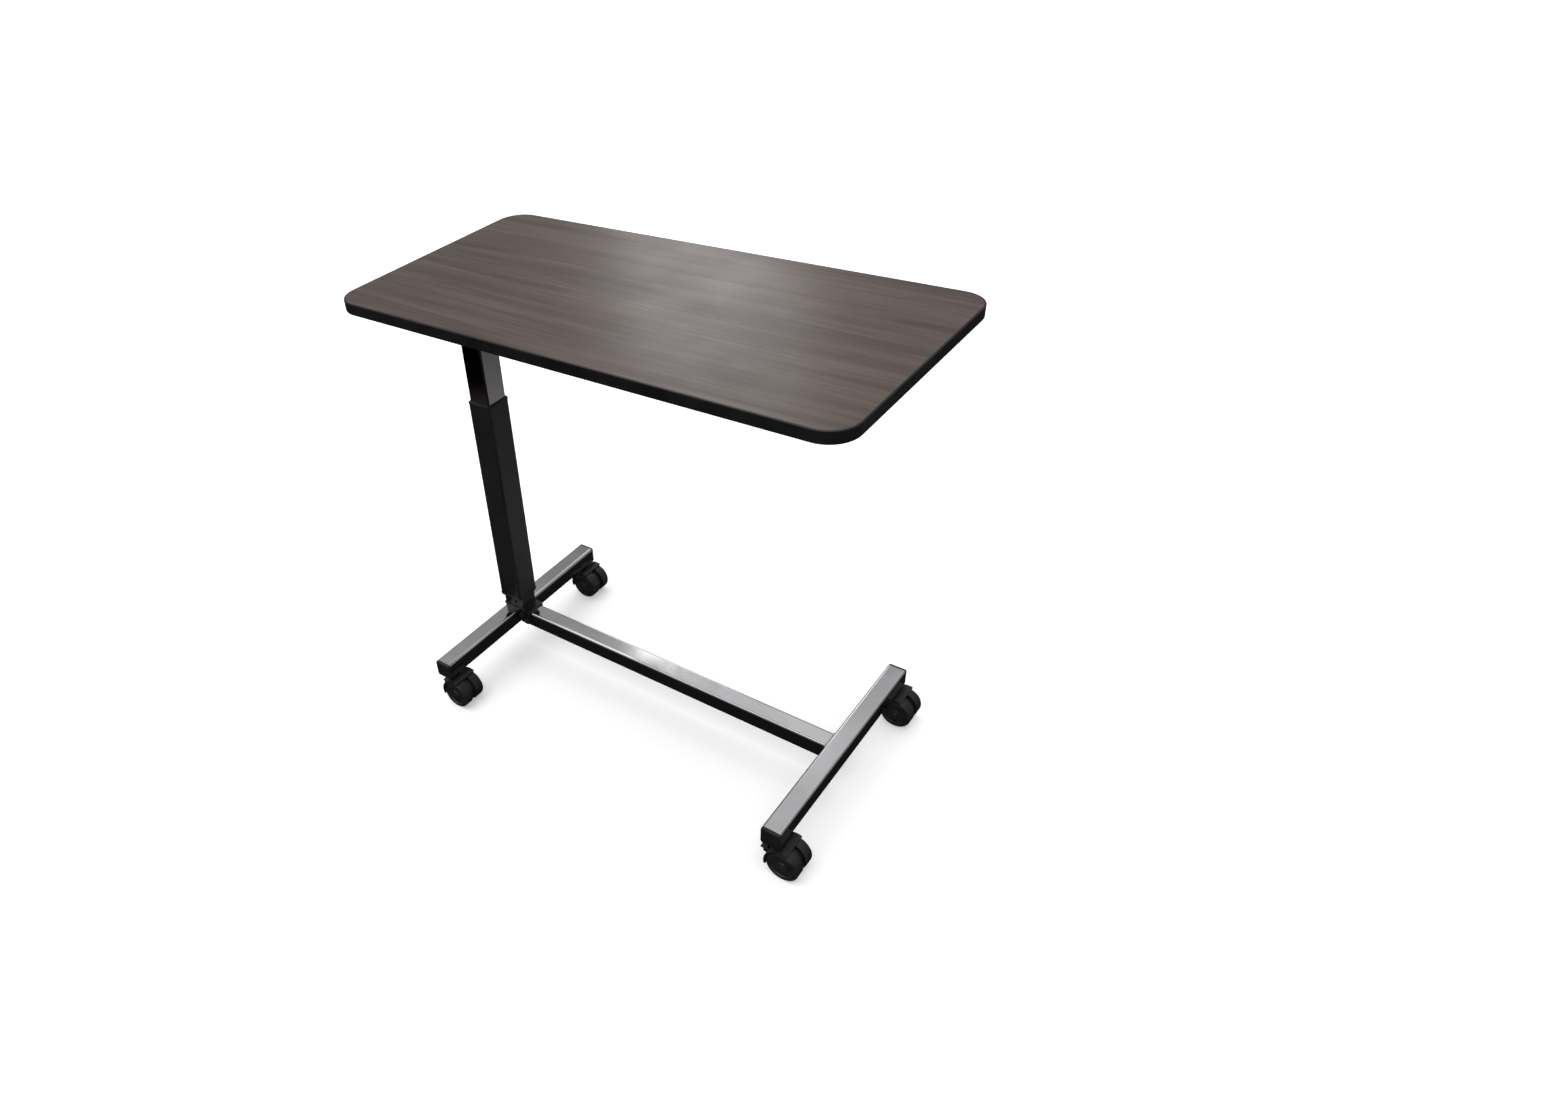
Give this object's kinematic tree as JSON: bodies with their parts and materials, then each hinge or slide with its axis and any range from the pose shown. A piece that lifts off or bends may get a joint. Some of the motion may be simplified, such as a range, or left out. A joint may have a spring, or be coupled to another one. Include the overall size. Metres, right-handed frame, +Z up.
{
  "type": "overbed table",
  "caption": "Overbed table: laminated top cantilevered on a gas-spring telescoping column over a chrome H base with twin-wheel casters.",
  "frame": {"origin": "on the floor under the middle of the top, at the lowest height setting", "axes": "+X along the top, away from the column; -Y is the front where the user sits; +Z up"},
  "size_m": [0.762, 0.401, 0.715],
  "materials": {
    "chrome_tube": "bright chrome plate",
    "black_enamel": "satin black powder coat",
    "black_plastic": "moulded nylon",
    "wheel_plastic": "moulded nylon",
    "zinc_steel": "zinc plated",
    "dark_steel": "black enamel",
    "walnut_laminate": "satin wood-grain laminate",
    "backing_paper": "phenolic backing sheet",
    "particle_board": "particle board",
    "edge_trim": "extruded T-moulding",
    "spring_steel": "gloss black enamel",
    "rod_chrome": "hard chrome",
    "glide_nylon": "natural nylon"
  },
  "bodies": {
    "base": {"left_leg_tube": "chrome_tube", "right_leg_tube": "chrome_tube", "stretcher_tube": "chrome_tube", "front_left_end_cap": "black_plastic", "rear_left_end_cap": "black_plastic", "front_right_end_cap": "black_plastic", "rear_right_end_cap": "black_plastic", "foot_bracket": "black_enamel", "foot_bolts": "dark_steel", "foot_nuts": "dark_steel", "outer_column": "black_enamel", "column_collar": "black_plastic", "gas_spring_cylinder": "spring_steel", "gas_spring_guide": "zinc_steel", "gas_spring_pin": "dark_steel", "stem_sockets": "zinc_steel", "front_left_caster_stem": "zinc_steel", "rear_left_caster_stem": "zinc_steel", "front_right_caster_stem": "zinc_steel", "rear_right_caster_stem": "zinc_steel"},
    "mast": {"inner_column": "chrome_tube", "mast_glide": "glide_nylon", "gas_spring_rod": "rod_chrome", "gas_spring_piston": "zinc_steel", "gas_spring_nut": "zinc_steel", "mast_head": "dark_steel", "arm_bolts": "zinc_steel", "arm_nuts": "zinc_steel", "support_arm": "dark_steel", "lever_bracket": "dark_steel", "lever_pin": "zinc_steel", "board_core": "particle_board", "top_laminate": "walnut_laminate", "backing_sheet": "backing_paper", "edge_band": "edge_trim", "board_screws": "zinc_steel"},
    "lever": {"release_lever": "dark_steel", "lever_grip": "black_plastic"},
    "valve_pin": {"release_pin": "rod_chrome"},
    "front_left_swivel": {"front_left_caster_hood": "black_plastic", "front_left_caster_axle": "zinc_steel"},
    "front_left_front_wheel": {"front_left_caster_front_wheel": "wheel_plastic"},
    "front_left_rear_wheel": {"front_left_caster_rear_wheel": "wheel_plastic"},
    "front_left_brake": {"front_left_brake_pedal": "black_plastic"},
    "rear_left_swivel": {"rear_left_caster_hood": "black_plastic", "rear_left_caster_axle": "zinc_steel"},
    "rear_left_front_wheel": {"rear_left_caster_front_wheel": "wheel_plastic"},
    "rear_left_rear_wheel": {"rear_left_caster_rear_wheel": "wheel_plastic"},
    "front_right_swivel": {"front_right_caster_hood": "black_plastic", "front_right_caster_axle": "zinc_steel"},
    "front_right_front_wheel": {"front_right_caster_front_wheel": "wheel_plastic"},
    "front_right_rear_wheel": {"front_right_caster_rear_wheel": "wheel_plastic"},
    "front_right_brake": {"front_right_brake_pedal": "black_plastic"},
    "rear_right_swivel": {"rear_right_caster_hood": "black_plastic", "rear_right_caster_axle": "zinc_steel"},
    "rear_right_front_wheel": {"rear_right_caster_front_wheel": "wheel_plastic"},
    "rear_right_rear_wheel": {"rear_right_caster_rear_wheel": "wheel_plastic"}
  },
  "joints": [
    {"name": "height_slide", "type": "slide", "parent": "base", "child": "mast", "axis": [0, 0, 1], "range_m": [0, 0.3]},
    {"name": "lever_hinge", "type": "hinge", "parent": "mast", "child": "lever", "pos_m": [-0.31, -0.024, 0.6885], "axis": [-1, 0, 0], "range_deg": [0, 7], "stiffness_Nm_per_rad": 1.5, "springref_deg": -6.88},
    {"name": "valve_pin_slide", "type": "slide", "parent": "mast", "child": "valve_pin", "axis": [0, 0, -1], "range_m": [0, 0.003]},
    {"name": "front_left_swivel_turn", "type": "hinge", "parent": "base", "child": "front_left_swivel", "pos_m": [-0.315, -0.178, 0.05], "axis": [0, 0, 1], "continuous": true},
    {"name": "front_left_front_wheel_spin", "type": "hinge", "parent": "front_left_swivel", "child": "front_left_front_wheel", "pos_m": [-0.295, -0.178, 0.025], "axis": [0, 1, 0], "continuous": true},
    {"name": "front_left_rear_wheel_spin", "type": "hinge", "parent": "front_left_swivel", "child": "front_left_rear_wheel", "pos_m": [-0.295, -0.178, 0.025], "axis": [0, 1, 0], "continuous": true},
    {"name": "front_left_brake_press", "type": "hinge", "parent": "front_left_swivel", "child": "front_left_brake", "pos_m": [-0.3265, -0.178, 0.031], "axis": [0, -1, 0], "range_deg": [0, 12]},
    {"name": "rear_left_swivel_turn", "type": "hinge", "parent": "base", "child": "rear_left_swivel", "pos_m": [-0.315, 0.178, 0.05], "axis": [0, 0, 1], "continuous": true},
    {"name": "rear_left_front_wheel_spin", "type": "hinge", "parent": "rear_left_swivel", "child": "rear_left_front_wheel", "pos_m": [-0.295, 0.178, 0.025], "axis": [0, 1, 0], "continuous": true},
    {"name": "rear_left_rear_wheel_spin", "type": "hinge", "parent": "rear_left_swivel", "child": "rear_left_rear_wheel", "pos_m": [-0.295, 0.178, 0.025], "axis": [0, 1, 0], "continuous": true},
    {"name": "front_right_swivel_turn", "type": "hinge", "parent": "base", "child": "front_right_swivel", "pos_m": [0.315, -0.178, 0.05], "axis": [0, 0, 1], "continuous": true},
    {"name": "front_right_front_wheel_spin", "type": "hinge", "parent": "front_right_swivel", "child": "front_right_front_wheel", "pos_m": [0.335, -0.178, 0.025], "axis": [0, 1, 0], "continuous": true},
    {"name": "front_right_rear_wheel_spin", "type": "hinge", "parent": "front_right_swivel", "child": "front_right_rear_wheel", "pos_m": [0.335, -0.178, 0.025], "axis": [0, 1, 0], "continuous": true},
    {"name": "front_right_brake_press", "type": "hinge", "parent": "front_right_swivel", "child": "front_right_brake", "pos_m": [0.3035, -0.178, 0.031], "axis": [0, -1, 0], "range_deg": [0, 12]},
    {"name": "rear_right_swivel_turn", "type": "hinge", "parent": "base", "child": "rear_right_swivel", "pos_m": [0.315, 0.178, 0.05], "axis": [0, 0, 1], "continuous": true},
    {"name": "rear_right_front_wheel_spin", "type": "hinge", "parent": "rear_right_swivel", "child": "rear_right_front_wheel", "pos_m": [0.335, 0.178, 0.025], "axis": [0, 1, 0], "continuous": true},
    {"name": "rear_right_rear_wheel_spin", "type": "hinge", "parent": "rear_right_swivel", "child": "rear_right_rear_wheel", "pos_m": [0.335, 0.178, 0.025], "axis": [0, 1, 0], "continuous": true}
  ],
  "couplings": [
    {"joint": "valve_pin_slide", "follows": "lever_hinge", "m_per_rad": 0.0243}
  ]
}
